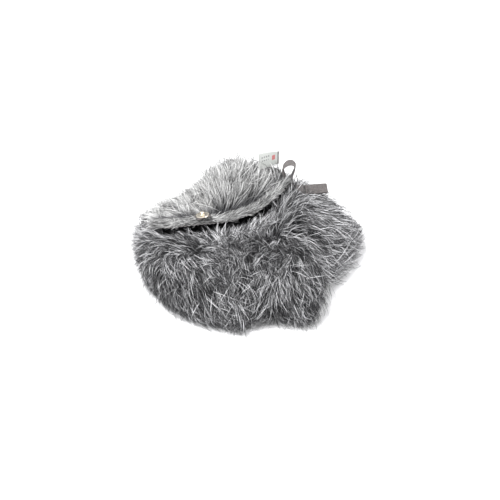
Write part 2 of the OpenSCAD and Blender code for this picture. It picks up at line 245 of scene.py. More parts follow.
# The way the pile lies: a place on the cover and the direction of the pile there
COMB = np.array([
    [-80, 30, 30, -0.75, 0.5, 0.2],
    [-78, 64, 18, -0.4, 0.9, -0.3],
    [-88, 12, 16, -0.8, -0.5, -0.4],
    [-79, -11, 24, -0.35, -0.9, -0.4],
    [-70, -46, 12, -0.05, -0.9, -0.4],
    [-50, -22, 42, 0.15, -1, -0.1],
    [-55, -56, 12, 0.1, -0.9, -0.4],
    [-34, -58, 22, -0.4, -0.8, -0.2],
    [-30, -20, 45, 0.3, -0.9, 0],
    [-3, -50, 40, -0.85, -0.5, -0.2],
    [0, -12, 46, -0.7, -0.4, 0],
    [-10, 20, 32, 0.2, 0.9, 0.3],
    [-45, 20, 40, -0.3, 0.9, 0.3],
    [22, 22, 34, 0.4, 0.8, 0.3],
    [5, -64, 10, -0.5, -0.8, -0.3],
    [14, -54, 42, -0.3, -0.9, -0.1],
    [25, -76, 10, 0.25, -0.95, -0.3],
    [33, -66, 26, 0.5, -0.85, -0.2],
    [42, -10, 50, 0.6, -0.75, 0],
    [46, -48, 36, 0.75, -0.65, 0],
    [62, -30, 44, 0.93, -0.35, 0],
    [76, -42, 20, 0.9, -0.45, -0.1],
    [88, -14, 30, 0.97, -0.2, -0.1],
    [67, 8, 45, 0.92, -0.3, 0],
    [88, 22, 24, 0.96, 0.05, 0.12],
    [70, 60, 24, 0.9, 0.35, -0.2],
    [-60, 46, 42, -0.65, 0.6, 0.3],
    [-40, 48, 42, -0.4, 0.75, 0.5],
    [-20, 50, 50, -0.1, 0.8, 0.6],
    [-4, 42, 42, 0.5, 0.6, 0.5],
    [8, 33, 42, 0.95, 0.2, 0.15],
    [34, 37, 48, 0.85, 0.3, 0.3],
    [-52, 37, 40, -0.95, 0.25, 0],
    [20, 44, 46, 0.7, 0.5, 0.5],
    [5, 60, 64, 0.15, 0.8, 0.6],
    [30, 60, 62, 0.1, 0.8, 0.5],
    [46, 56, 58, -0.1, 0.8, 0.5],
    [-50, 66, 44, -0.5, 0.7, 0.2],
    [-30, 84, 30, -0.2, 0.6, -0.6],
    [30, 84, 34, 0.2, 0.6, -0.6],
    [-30, 95, 14, 0, 0.3, -0.9],
    [30, 95, 14, 0, 0.3, -0.9]], float)


def waves(points, seed, wavelength, count=10):
    """Smooth random values from -1 to 1 over the cover."""
    r = np.random.default_rng(seed)
    k = unit(r.normal(size=(count, 3))) * (2 * math.pi / wavelength) * r.uniform(0.7, 1.4, (count, 1))
    return np.sin(points @ k.T + r.uniform(0, 2 * math.pi, count)).sum(1) / math.sqrt(count) * 0.9


def hill(points, at, reach):
    """A smooth bump of height 1 around a place on the cover."""
    return np.exp(-(((points - at) / reach) ** 2).sum(1))


def mussed(points):
    """How far the pile is ruffled: on the front's crown and at the left end."""
    return hill(points, [-2, -18, 45], [26, 22, 20]) + 0.7 * hill(points, [-74, 10, 36], [14, 16, 20])


def silky(points):
    """How far the pile lies long and smooth: over the right end, away from the ruffled crown."""
    return hill(points, [74, -6, 38], [34, 56, 40])


def tone_and_painted_light(points):
    """Paler and darker places of the cover, as a change of the strands' shade. This is partly painted light
    and shade, paler on the flap and the right end and darker low on the front and at the left end, and partly
    the pile's own uneven tone.
    """
    return (0.22 * hill(points, [-52, 52, 44], [30, 24, 22]) + 0.24 * hill(points, [74, -4, 38], [28, 46, 34])
        - 0.10 * hill(points, [12, 56, 60], [26, 22, 22]) - 0.13 * hill(points, [-78, -4, 24], [20, 34, 26])
        - 0.02 * hill(points, [-4, -22, 44], [26, 22, 22]) - 0.12 * hill(points, [28, -64, 20], [24, 22, 24]))


SPAN = np.array(cad_box) / MM
STRAY = 0.03 * (SPAN[1] - SPAN[0]) + 8.5
EASE = 6


def held_in(paths):
    """Strands bend softly back where they would stray far past the cover."""
    over = (paths - (SPAN[1] + STRAY - EASE)).clip(0)
    under = (SPAN[0] - STRAY + EASE - paths).clip(0)
    return paths - over + EASE * (1 - np.exp(-over / EASE)) + under - EASE * (1 - np.exp(-under / EASE))


def lie_of_pile(points, normals, turn):
    """The pile's direction along the surface at each point, turned by the strand's own turn."""
    d2 = ((points[:, None, :] - COMB[None, :, :3]) ** 2).sum(2)
    weight = np.exp(-d2 / (2 * 15.0 ** 2)) + 0.02 / (1 + d2 / 400)
    way = weight @ unit(COMB[:, 3:])
    way = unit(way - normals * (way * normals).sum(1, keepdims=True))
    side = np.cross(normals, way)
    return way * np.cos(turn)[:, None] + side * np.sin(turn)[:, None]


def hem_points(name):
    co, _ = triangles(NODES[name])
    tree = KDTree(len(co))
    for k, p in enumerate(co):
        tree.insert(Vector(p), k)
    tree.balance()
    return tree


HEMS = [hem_points("hem_upper"), hem_points("hem_lower")]
PILE_DEPTH = 10.0
TUFT_LENGTH = 28
TUFT_AREA = 20
FREE_SHARE = 0.15
MOST_STRANDS = 22000
STATIONS = np.array([0, 0.2, 0.42, 0.64, 0.84, 1.0])


def depth_at(points):
    """How deep the backing lies under the pile: shallow beside the hems, where the pile thins out."""
    near = np.array([min(tree.find(Vector(p))[2] for tree in HEMS) for p in points])
    edge = ((near - 1) / 16).clip(0, 1)
    stud = hill(points, [-28, 44, 41], [11, 12, 12])
    return (1.2 + (PILE_DEPTH - 1.2) * edge * edge * (3 - 2 * edge)) * (1 - 0.6 * stud)


def grow(roots, depth, length, top, turn, loose):
    """Centre lines of strands that leave the backing steeply, then lie along the cover's surface."""
    paths, heading = [roots], None
    for a, b in zip(STATIONS[:-1], STATIONS[1:]):
        normals, height = cover_at(paths[-1])
        way = lie_of_pile(paths[-1], normals, turn)
        target = -depth + (top + depth) * (1 - (1 - b) ** 2.4)
        rise = ((target - height) / (length * (b - a))).clip(-0.6, 0.86)[:, None]
        step = normals * rise + way * np.sqrt(1 - rise ** 2)
        if heading is not None:
            step = unit(heading * loose[:, None] + step * (1 - loose[:, None]))
        heading = step
        paths.append(paths[-1] + step * (length * (b - a))[:, None])
    return np.stack(paths, 1)


def pile_share(points):
    """Share of the full pile length: shorter along the lips, at the stud and where it is mussed."""
    lip = hill(points, [-8, 22, 30], [52, 9, 14])
    stud = hill(points, [-28, 44, 41], [10, 11, 10])
    side = hill(points, [-86, 10, 10], [10, 30, 30]) + hill(points, [0, 92, 12], [80, 8, 20])
    slope = hill(points, [-42, 68, 46], [18, 20, 16]) + 1.4 * hill(points, [26, -76, 10], [20, 12, 16])
    return (1 - 0.66 * lip - 0.2 * mussed(points) - 0.5 * stud - 0.25 * side - 0.3 * slope).clip(0.3, 1)


def pile(name, per_mm2, paleness, mix):
    """All strands of one panel as one mesh. mix is the share of dark and of middle strands."""
    corners, _, area = SKIN[name]
    count, tufts = min(int(area.sum() * per_mm2), MOST_STRANDS), int(area.sum() / TUFT_AREA)
    p, _ = scatter(corners, area, tufts + count)
    n, _ = cover_at(p)
    depth = depth_at(p)
    tuft_p, tuft_n, tuft_depth = p[:tufts], n[:tufts], depth[:tufts]
    p, n, depth = p[tufts:], n[tufts:], depth[tufts:]
    tree = KDTree(tufts)
    for k in range(tufts):
        tree.insert(Vector(tuft_p[k]), k)
    tree.balance()
    own = np.array([tree.find(Vector(q))[1] for q in p])

    ruffle, smooth = mussed(tuft_p), 1 - 0.6 * silky(tuft_p)
    tuft_turn = waves(tuft_p, 3, 46) * 0.22 + waves(tuft_p, 4, 20) * (0.14 * smooth + 1.1 * ruffle)
    tuft_turn += rng.normal(0, 0.15, tufts) * (smooth + ruffle)
    tuft_length = TUFT_LENGTH * (1 + rng.normal(0, 0.13, tufts)) * pile_share(tuft_p) * (1.6 - 0.6 * smooth)
    tuft_top = rng.normal(0, 1.5, tufts) * smooth + 1.5 * ruffle
    # The tufts' shade takes in painted light and shade over the cover, as well as the pile's own uneven tone.
    tuft_shade = rng.normal(0, 0.13, tufts) + 0.12 * waves(tuft_p, 9, 34) + tone_and_painted_light(tuft_p)
    tuft_paths = grow(tuft_p - tuft_n * tuft_depth[:, None], tuft_depth, tuft_length, tuft_top,
        tuft_turn, np.full(tufts, 0.3))

    free = rng.random(count) < FREE_SHARE * smooth[own]
    turn = tuft_turn[own] + rng.normal(0, 0.15, count) + np.where(free, rng.normal(0, 0.5, count), 0)
    length = tuft_length[own] * (1 + rng.normal(0, 0.12, count))
    under = rng.random(count)
    top = tuft_top[own] + rng.normal(0, 0.8, count) - 3.0 * under ** 2 + np.where(free, 1.6, 0)
    paths = grow(p - n * depth[:, None], depth, length, top, turn, np.where(free, 0.7, 0.42))
    gather = np.where(free, 0, rng.uniform(0.25, 0.75, count))[:, None] * STATIONS[None] ** 1.3
    paths += (tuft_paths[own] - paths) * gather[..., None]
    paths += rng.normal(0, 0.6, (count, 1, 3)) * np.sin(STATIONS * math.pi * 1.6)[None, :, None]
    paths = held_in(paths)
    paths[..., 2] = np.maximum(paths[..., 2], 0.4 + 1.4 * rng.random(count)[:, None])

    kind = rng.random(count)
    shade = np.where(kind < mix[0], rng.normal(0.07, 0.04, count),
        np.where(kind < mix[1], rng.normal(0.45, 0.10, count), rng.normal(0.88, 0.08, count)))
    calm = 0.45 * hill(p, [-52, 52, 44], [30, 24, 22])
    shade = shade + (0.62 - shade) * calm
    shade = (shade + tuft_shade[own] + paleness - 0.20 * under ** 3).clip(0.02, 0.98)
    width = rng.uniform(0.20, 0.50, count)
    return strand_mesh(name + "_pile", paths, width, shade)


def strand_mesh(name, paths, width, shade):
    """Flat tapering strands that face outward, with their shade and place along them as a UV map."""
    count, rings, _ = paths.shape
    along = unit(np.gradient(paths, axis=1))
    normals = cover_at(paths.reshape(-1, 3))[0].reshape(paths.shape)
    roll = rng.normal(0, 0.55, (count, 1, 1))
    across = unit(np.cross(along, normals))
    lift = np.cross(across, along)
    across = across * np.cos(roll) + lift * np.sin(roll)
    taper = np.interp(STATIONS, [0, 0.35, 0.75, 1], [0.7, 1.0, 0.75, 0.15])
    half = across * (width[:, None] * taper[None] / 2)[..., None]
    sides = np.stack([paths - half, paths + half], 2)[:, :-1]
    verts = np.concatenate([sides.reshape(count, -1, 3), paths[:, -1:]], 1).reshape(-1, 3)
    verts[:, 2] = verts[:, 2].clip(0.05, None)
    per = 2 * (rings - 1) + 1
    quads = [[2 * k, 2 * k + 1, 2 * k + 3, 2 * k + 2] for k in range(rings - 2)]
    loops = sum(quads, []) + [per - 3, per - 2, per - 1]
    loops = (np.array(loops)[None] + (np.arange(count) * per)[:, None]).ravel()
    sizes = np.tile([4] * len(quads) + [3], count)
    mesh = bpy.data.meshes.new(name)
    mesh.vertices.add(len(verts))
    mesh.vertices.foreach_set("co", (verts * MM).astype(np.float32).ravel())
    mesh.loops.add(len(loops))
    mesh.loops.foreach_set("vertex_index", loops.astype(np.int32))
    mesh.polygons.add(len(sizes))
    mesh.polygons.foreach_set("loop_start", np.concatenate([[0], np.cumsum(sizes)[:-1]]).astype(np.int32))
    mesh.polygons.foreach_set("loop_total", sizes.astype(np.int32))
    mesh.polygons.foreach_set("use_smooth", np.ones(len(sizes), bool))
    mesh.update(calc_edges=True)
    place = np.concatenate([np.repeat(STATIONS[:-1], 2), [1.0]])
    side = np.concatenate([np.tile([-1.0, 1.0], rings - 1), [0.0]])
    which, owner = loops % per, loops // per
    uv = np.stack([shade[owner] + side[which] * 0.004, place[which] * 0.98 + 0.01], 1)
    for layer in ("strand", "OFBake"):
        mesh.uv_layers.new(name=layer).data.foreach_set("uv", uv.astype(np.float32).ravel())
    obj = bpy.data.objects.new(name, mesh)
    scene.collection.objects.link(obj)
    return obj


def fur_material(name, dark, mid, pale):
    """Colour from the strand's shade, darker towards its root, partly the strands' own dark base and partly
    painted shade deep in the pile, with a soft acrylic shine.
    """
    mat = bpy.data.materials.new(name)
    mat.use_nodes = True
    tree = mat.node_tree
    bsdf = tree.nodes["Principled BSDF"]
    uv = tree.nodes.new("ShaderNodeUVMap")
    uv.uv_map = "strand"
    split = tree.nodes.new("ShaderNodeSeparateXYZ")
    tree.links.new(uv.outputs["UV"], split.inputs[0])
    ramp = tree.nodes.new("ShaderNodeValToRGB")
    ramp.color_ramp.elements[0].color = (*dark, 1)
    ramp.color_ramp.elements[1].color = (*pale, 1)
    middle = ramp.color_ramp.elements.new(0.5)
    middle.color = (*mid, 1)
    tree.links.new(split.outputs["X"], ramp.inputs["Fac"])
    # Darker towards the root: the strands' own dark base, and painted shade deep in the pile.
    root = tree.nodes.new("ShaderNodeValToRGB")
    root.color_ramp.elements[0].color = (0.18, 0.18, 0.19, 1)
    root.color_ramp.elements[0].position = 0.12
    root.color_ramp.elements[1].color = (1, 1, 1, 1)
    root.color_ramp.elements[1].position = 0.6
    tree.links.new(split.outputs["Y"], root.inputs["Fac"])
    mix = tree.nodes.new("ShaderNodeMix")
    mix.data_type = "RGBA"
    mix.blend_type = "MULTIPLY"
    mix.inputs["Factor"].default_value = 1
    tree.links.new(ramp.outputs["Color"], mix.inputs["A"])
    tree.links.new(root.outputs["Color"], mix.inputs["B"])
    tree.links.new(mix.outputs["Result"], bsdf.inputs["Base Color"])
    bsdf.inputs["Roughness"].default_value = 0.42
    bsdf.inputs["Specular IOR Level"].default_value = 0.3
    bsdf.inputs["Sheen Weight"].default_value = 0.06
    bsdf.inputs["Sheen Roughness"].default_value = 0.4
    return mat


def welded(corners):
    """Points and faces of a surface from the corners of its loose triangles."""
    flat = corners.reshape(-1, 3)
    _, first, back_to = np.unique(np.round(flat, 3), axis=0, return_index=True, return_inverse=True)
    faces = [f for f in back_to.reshape(-1, 3).tolist() if len(set(f)) == 3]
    return flat[first], faces


def backing(name):
    """The knitted backing under the pile: the panel's outside drawn in to the pile's roots."""
    points, faces = welded(SKIN[name][0])
    points = points - cover_at(points)[0] * (depth_at(points) - 0.2)[:, None]
    points[:, 2] = points[:, 2].clip(1.0, None)
    mesh = bpy.data.meshes.new(name + "_backing")
    mesh.from_pydata([tuple(q * MM) for q in points], [], faces)
    for poly in mesh.polygons:
        poly.use_smooth = True
    obj = bpy.data.objects.new(name + "_backing", mesh)
    scene.collection.objects.link(obj)
    return obj


def declare_sheet(obj):
    """Reads the corners and triangles of a cloth piece; nothing is made from them."""
    co, tri = triangles(obj)


dark_pile = fur_material("dark_pile", (0.006, 0.006, 0.007), (0.10, 0.10, 0.104), (0.88, 0.88, 0.90))
light_pile = fur_material("light_pile", (0.05, 0.05, 0.05), (0.36, 0.36, 0.36), (0.84, 0.84, 0.835))
backing_knit = flat_material("backing_knit", (0.03, 0.03, 0.032), 0.95)

for name in LOWER:
    fur = pile(name, 2.7, 0.03 if name == "fur_right_end" else 0.0, (0.52, 0.74))
    fur.data.materials.append(dark_pile)
    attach(fur, "cover")
    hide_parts(name)
    under = backing(name)
    under.data.materials.append(backing_knit)
    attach(under, "cover")
    declare_sheet(under)

fur = pile("fur_upper_lip", 2.3, 0.02, (0.22, 0.56))
fur.data.materials.append(light_pile)
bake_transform(fur)
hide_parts("fur_upper_lip")
under = backing("fur_upper_lip")
under.data.materials.append(backing_knit)
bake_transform(under)
declare_sheet(under)

# --- Lining, seam bindings and underside ----------------------------------------------
# The cover is lined with a fine black knit that is eased in and lies in small wrinkles.
# Its seams are bound, and the fur of the underside is matted flat by the cover's weight.
def finish_group(name, outputs):
    """An empty shader group with one scale input and named outputs."""
    group = bpy.data.node_groups.new(name, "ShaderNodeTree")
    scale = group.interface.new_socket(name="Scale", in_out="INPUT", socket_type="NodeSocketFloat")
    scale.default_value = 1.0
    for label, kind in outputs:
        group.interface.new_socket(name=label, in_out="OUTPUT", socket_type=kind)
    return group, group.nodes.new("NodeGroupInput"), group.nodes.new("NodeGroupOutput")


def scaled_place(group, inputs, factor):
    """The object's own coordinates, times factor and the group's scale."""
    place = group.nodes.new("ShaderNodeTexCoord")
    size = group.nodes.new("ShaderNodeMath")
    size.operation = "MULTIPLY"
    size.inputs[1].default_value = factor
    group.links.new(inputs.outputs["Scale"], size.inputs[0])
    spread = group.nodes.new("ShaderNodeVectorMath")
    spread.operation = "SCALE"
    group.links.new(place.outputs["Object"], spread.inputs[0])
    group.links.new(size.outputs[0], spread.inputs["Scale"])
    return spread.outputs[0]


def knit_group():
    """Fine knit: rows of small loops as a height, and an uneven tone."""
    group, inputs, outputs = finish_group("knit_loops",
        [("Height", "NodeSocketFloat"), ("Tone", "NodeSocketFloat")])
    place = scaled_place(group, inputs, 1000)
    ribs = group.nodes.new("ShaderNodeTexWave")
    ribs.inputs["Scale"].default_value = 0.42
    ribs.inputs["Distortion"].default_value = 1.2
    rows = group.nodes.new("ShaderNodeTexWave")
    rows.bands_direction = "Z"
    rows.inputs["Scale"].default_value = 0.36
    rows.inputs["Distortion"].default_value = 1.4
    both = group.nodes.new("ShaderNodeMath")
    both.operation = "MULTIPLY"
    tone = group.nodes.new("ShaderNodeTexNoise")
    tone.inputs["Scale"].default_value = 0.5
    tone.inputs["Detail"].default_value = 4
    for node in (ribs, rows, tone):
        group.links.new(place, node.inputs["Vector"])
    group.links.new(ribs.outputs["Fac"], both.inputs[0])
    group.links.new(rows.outputs["Fac"], both.inputs[1])
    group.links.new(both.outputs[0], outputs.inputs["Height"])
    group.links.new(tone.outputs["Fac"], outputs.inputs["Tone"])
    return group


KNIT = knit_group()


def textured(name, group, scale, dark, pale, roughness, bump, metal=0.0, sheen=0.0):
    """A material whose colour and relief come from a shared finish group."""
    mat = bpy.data.materials.new(name)
    mat.use_nodes = True
    tree = mat.node_tree
    bsdf = tree.nodes["Principled BSDF"]
    node = tree.nodes.new("ShaderNodeGroup")
    node.node_tree = group
    node.inputs["Scale"].default_value = scale
    ramp = tree.nodes.new("ShaderNodeValToRGB")
    ramp.color_ramp.elements[0].position = 0.25
    ramp.color_ramp.elements[0].color = (*dark, 1)
    ramp.color_ramp.elements[1].position = 0.75
    ramp.color_ramp.elements[1].color = (*pale, 1)
    relief = tree.nodes.new("ShaderNodeBump")
    relief.inputs["Distance"].default_value = bump * MM
    tree.links.new(node.outputs["Tone"], ramp.inputs["Fac"])
    tree.links.new(ramp.outputs["Color"], bsdf.inputs["Base Color"])
    tree.links.new(node.outputs["Height"], relief.inputs["Height"])
    tree.links.new(relief.outputs["Normal"], bsdf.inputs["Normal"])
    bsdf.inputs["Roughness"].default_value = roughness
    bsdf.inputs["Metallic"].default_value = metal
    bsdf.inputs["Sheen Weight"].default_value = sheen
    return mat


def dress(obj, mat):
    obj.data.materials.clear()
    obj.data.materials.append(mat)


def new_piece(name, mesh):
    obj = bpy.data.objects.new(name, mesh)
    scene.collection.objects.link(obj)
    for poly in mesh.polygons:
        poly.use_smooth = True
    return obj


REAR_EDGE = 8.0
FOLD_INSIDE_Y = 90.0
LINING_LOWEST = 0.6


def wrinkled(name, toward, body):
    """The side of a lining that faces a place inside the cover, as one wrinkled sheet.

    The underside's lining runs on at the back, into the fold under the upper lip."""
    co, tri = triangles(NODES[name])
    p = co[tri]
    cross = np.cross(p[:, 1] - p[:, 0], p[:, 2] - p[:, 0])
    inward = (unit(cross) * unit(np.array(toward, float) - p.mean(1))).sum(1) > 0.15
    points, faces = welded(p[inward])
    if name == "lining_base":
        rear = points[:, 1].max()
        points[points[:, 1] > rear - REAR_EDGE] += (0, FOLD_INSIDE_Y - rear, -2)
    mesh = bpy.data.meshes.new(name + "_sheet")
    mesh.from_pydata([tuple(q * MM) for q in points], [], faces)
    obj = new_piece(name + "_sheet", mesh)
    mesh.update()
    normals = np.array([v.normal for v in mesh.vertices])
    points = points + normals * (0.35 * waves(points, 21, 16) + 0.15 * waves(points, 22, 7))[:, None]
    points[:, 2] = points[:, 2].clip(LINING_LOWEST, None)
    mesh.vertices.foreach_set("co", (points * MM).astype(np.float32).ravel())
    mesh.update()
    dress(obj, lining_knit)
    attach(obj, body)
    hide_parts(name)
    declare_sheet(obj)


lining_knit = textured("black_lining", KNIT, 1.0, (0.012, 0.012, 0.013), (0.035, 0.034, 0.036),
    0.85, 0.25, sheen=0.1)
wrinkled("lining_lower", (0, 20, 16), "cover")
wrinkled("lining_upper", (0, 40, 12), "upper_lip")
wrinkled("lining_base", (0, 10, 200), "cover")


def softened(name, mat, body, rounding, ruffle):
    """A cut cloth part: its CAD solid with rounded edges and a slightly uneven surface."""
    bm = bmesh.new()
    bm.from_mesh(NODES[name].data)
    bmesh.ops.remove_doubles(bm, verts=bm.verts, dist=1e-6)
    bmesh.ops.dissolve_limit(bm, angle_limit=0.02, verts=bm.verts, edges=bm.edges)
    sharp = [e for e in bm.edges if len(e.link_faces) == 2 and e.calc_face_angle(0) > 0.7]
    bmesh.ops.bevel(bm, geom=sharp, offset=rounding * MM, segments=2, affect="EDGES")
    bmesh.ops.triangulate(bm, faces=bm.faces)
    long = [e for e in bm.edges if e.calc_length() > 1.6 * MM]
    bmesh.ops.subdivide_edges(bm, edges=long, cuts=2, use_grid_fill=True)
    bm.normal_update()
    for v in bm.verts:
        v.co += v.normal * (float(waves(np.array([v.co]) / MM, 31, 5)[0]) * ruffle * MM)
    mesh = bpy.data.meshes.new(name + "_cloth")
    bm.to_mesh(mesh)
    bm.free()
    obj = new_piece(name + "_cloth", mesh)
    dress(obj, mat)
    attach(obj, body)
    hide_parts(name)
    return obj


softened("seam_bindings", lining_knit, "cover", 0.2, 0.08)


def underside():
    """The matted pile under the cover: strands pressed flat against the table."""
    low, high = (np.array(v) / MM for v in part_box("fur_base"))
    co, tri = triangles(NODES["fur_base"])
    p = co[tri]
    cross = np.cross(p[:, 1] - p[:, 0], p[:, 2] - p[:, 0])
    bottom = (unit(cross)[:, 2] < -0.9) & (p[:, :, 2].mean(1) < 1)
    roots, _ = scatter(p[bottom], np.linalg.norm(cross[bottom], axis=1), 6000)
    count = len(roots)
    turn = waves(roots, 41, 50) * 1.2 + rng.normal(0, 0.4, count) - 1.5
    way = np.stack([np.cos(turn), np.sin(turn), np.zeros(count)], 1)
    length = rng.uniform(10, 20, count)
    paths = roots[:, None] + way[:, None] * (length[:, None] * (STATIONS[None] - 0.5))[..., None]
    paths[..., 2] = 0.4 + 1.6 * rng.random((count, 1)) + 0.5 * np.sin(STATIONS * math.pi)[None]
    paths[..., 1] = paths[..., 1].clip(low[1] + 1, high[1] + 2)
    return strand_mesh("fur_base_pile", paths, rng.uniform(0.4, 0.8, count), rng.uniform(0.05, 0.7, count))


matted = underside()
dress(matted, dark_pile)
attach(matted, "cover")
base_cloth = softened("fur_base", backing_knit, "cover", 2.0, 0.5)
base_cloth.data.transform(Matrix.Translation((0, 0, 1.2 * MM)) @ Matrix.Diagonal((0.99, 0.99, 0.8, 1)))
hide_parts("fur_base")

# --- Hems, elastics and overlock stitch -----------------------------------------------
# Each lip is turned over a round elastic into a narrow knit roll. Two grey threads are
# wound round it, a paler cord of two plies edges it, and short pile is caught in the stitches.
def centre_line(name):
    """The line through the middle of a round elastic, evenly spaced along its length."""
    co, _ = triangles(NODES[name])
    co = co[np.argsort(co[:, 0])]
    parts = np.split(co, np.nonzero(np.diff(co[:, 0]) > 0.7)[0] + 1)
    line = np.array([q.mean(0) for q in parts])
    along = np.concatenate([[0], np.cumsum(np.linalg.norm(np.diff(line, axis=0), axis=1))])
    even = np.linspace(0, along[-1], int(along[-1] / 0.5))
    line = np.stack([np.interp(even, along, line[:, i]) for i in range(3)], 1)
    weight = np.hanning(17) / np.hanning(17).sum()
    before = line[:1] - (line[8:0:-1] - line[:1])
    after = line[-1:] - (line[-2:-10:-1] - line[-1:])
    padded = np.concatenate([before, line, after])
    return np.stack([np.convolve(padded[:, i], weight, "valid") for i in range(3)], 1)


def frame_along(line):
    """Unit directions at each point of a line: along it, level across it, and upward from it."""
    t = unit(np.gradient(line, axis=0))
    across = unit(np.cross([0, 0, 1.0], t))
    return t, across, np.cross(t, across)


def swept(name, verts, rings, m):
    """A closed body from rings of m points each, with both ends capped."""
    faces = [(k * m + j, k * m + (j + 1) % m, (k + 1) * m + (j + 1) % m, (k + 1) * m + j)
        for k in range(rings - 1) for j in range(m)]
    faces += [tuple(range(m))[::-1], tuple((rings - 1) * m + j for j in range(m))]
    mesh = bpy.data.meshes.new(name)
    mesh.from_pydata([tuple(v * MM) for v in verts], [], faces)
    return new_piece(name, mesh)


def tube(name, line, radius, sides):
    """A round tube along a line, with its radius given at each point and side."""
    _, across, up = frame_along(line)
    a = np.arange(sides) * 2 * math.pi / sides
    radius = np.broadcast_to(np.asarray(radius, float), (len(line), sides))
    ring = across[:, None] * np.cos(a)[None, :, None] + up[:, None] * np.sin(a)[None, :, None]
    verts = (line[:, None] + ring * radius[..., None]).reshape(-1, 3)
    return swept(name, verts, len(line), sides)


def join(name, pieces):
    """One object from several, in the first one's place."""
    bm = bmesh.new()
    for piece in pieces:
        bm.from_mesh(piece.data)
    mesh = bpy.data.meshes.new(name)
    bm.to_mesh(mesh)
    bm.free()
    for piece in pieces:
        bpy.data.objects.remove(piece)
    return new_piece(name, mesh)


HEM_R = 2.2
THREAD_R = 0.38
EDGE_PITCH = 7.2
EDGE_OUT = 2.1
PLY_SPIRAL = 0.62
PLY_R = 0.66
EDGE_ANGLE = {"upper": math.radians(192), "lower": math.radians(60)}
FRINGE = {"upper": 4200, "lower": 1500}


def hem(side, body, seed):
    """One lip's roll, its overlock threads, and the short pile caught in them."""
    line = centre_line("hem_%s_elastic" % side)
    count = len(line)
    s = np.arange(count) * 0.5
    a = np.arange(20) * 2 * math.pi / 20
    uneven = 0.16 * np.sin(s[:, None] * 2.2 + 2 * np.sin(a)[None]) + 0.12 * waves(line, seed, 9)[:, None]
    roll = tube("hem_%s_roll" % side, line, HEM_R - 0.35 + uneven, 20)
    dress(roll, hem_knit)
    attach(roll, body)
    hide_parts("hem_" + side)

    t, across, up = frame_along(line)
    fine = np.linspace(0, count - 1.001, count * 4)
    i = fine.astype(int)
    f = (fine - i)[:, None]
    place = line[i] * (1 - f) + line[i + 1] * f
    threads = []
    for hand, pitch, phase in ((1, 2.6, 0.0), (-1, 5.2, 0.8)):
        angle = hand * fine * 0.5 * 2 * math.pi / pitch + phase + 0.25 * np.sin(fine * 0.08)
        r = HEM_R + 0.05 + 0.16 * (hand < 0) + 0.1 * np.sin(fine * 0.23)
        wound = place + across[i] * (r * np.cos(angle))[:, None] + up[i] * (r * np.sin(angle))[:, None]
        threads.append(tube("wound", wound[4:-4], THREAD_R, 5))
    stitch = join("hem_%s_overlock" % side, threads)
    dress(stitch, grey_thread)
    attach(stitch, body)
    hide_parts("hem_%s_stitching" % side)

    edge = EDGE_ANGLE[side] + 0.15 * waves(place, seed + 5, 30)
    outward = across[i] * np.cos(edge)[:, None] + up[i] * np.sin(edge)[:, None]
    middle = place + outward * EDGE_OUT
    plies = []
    for phase in (0, math.pi):
        angle = np.arange(len(place)) * 0.125 * 2 * math.pi / EDGE_PITCH + phase
        spiral = across[i] * np.cos(angle)[:, None] + up[i] * np.sin(angle)[:, None]
        ply = middle + spiral * PLY_SPIRAL
        plies.append(tube("ply", ply[6:-6:3], PLY_R, 7))
    cord = join("hem_%s_edge_cord" % side, plies)
    dress(cord, pale_thread)
    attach(cord, body)

    number = FRINGE[side]
    k = rng.integers(4, count - 5, number)
    x = line[k, 0]
    toward = np.where(rng.random(number) < 1 / (1 + np.exp(-(x + 29) / 5)), 1, -1)
    a0 = rng.uniform(0.1, 0.9, number) * math.pi
    a1 = a0 + rng.normal(-0.1, 0.35, number)
    reach = rng.uniform(7, 20, number) * toward
    far = (k[:, None] + 2 * reach[:, None] * STATIONS[None]).round().astype(int)
    beyond = (far - far.clip(0, count - 1))[..., None] * 0.5 * t[far.clip(0, count - 1)]
    far = far.clip(0, count - 1)
    angle = a0[:, None] + (a1 - a0)[:, None] * STATIONS[None]
    height = HEM_R - 0.2 + rng.uniform(0.3, 4.2, (number, 1)) * STATIONS[None] ** 1.3
    paths = line[far] + beyond + (across[far] * np.cos(angle)[..., None]
        + up[far] * np.sin(angle)[..., None]) * height[..., None]
    paths += rng.normal(0, 0.8, (number, 1, 3)) * np.sin(STATIONS * math.pi * 1.6)[None, :, None]
    shade = np.where(rng.random(number) < 0.45, rng.normal(0.10, 0.05, number),
        rng.normal(0.66, 0.14, number))
    # The caught pile's shade takes in the same painted light and shade as the cover's pile, with its own
    # uneven tone.
    shade = (shade + 0.15 * waves(line[k], seed + 9, 12) + tone_and_painted_light(line[k])).clip(0.02, 0.98)
    fuzz = strand_mesh("hem_%s_fuzz" % side, held_in(paths), rng.uniform(0.22, 0.5, number), shade)
    dress(fuzz, light_pile if side == "upper" else dark_pile)
    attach(fuzz, body)
    dress(NODES["hem_%s_elastic" % side], elastic)


def spun_group():
    """Spun yarn: a fine twist as a height, and a mottled tone."""
    group, inputs, outputs = finish_group("spun_yarn",
        [("Height", "NodeSocketFloat"), ("Tone", "NodeSocketFloat")])
    place = scaled_place(group, inputs, 1000)
    twist = group.nodes.new("ShaderNodeTexWave")
    twist.bands_direction = "DIAGONAL"
    twist.inputs["Scale"].default_value = 1.1
    twist.inputs["Distortion"].default_value = 2.0
    tone = group.nodes.new("ShaderNodeTexNoise")
    tone.inputs["Scale"].default_value = 1.4
    tone.inputs["Detail"].default_value = 3
    for node in (twist, tone):
        group.links.new(place, node.inputs["Vector"])
    group.links.new(twist.outputs["Fac"], outputs.inputs["Height"])
    group.links.new(tone.outputs["Fac"], outputs.inputs["Tone"])
    return group


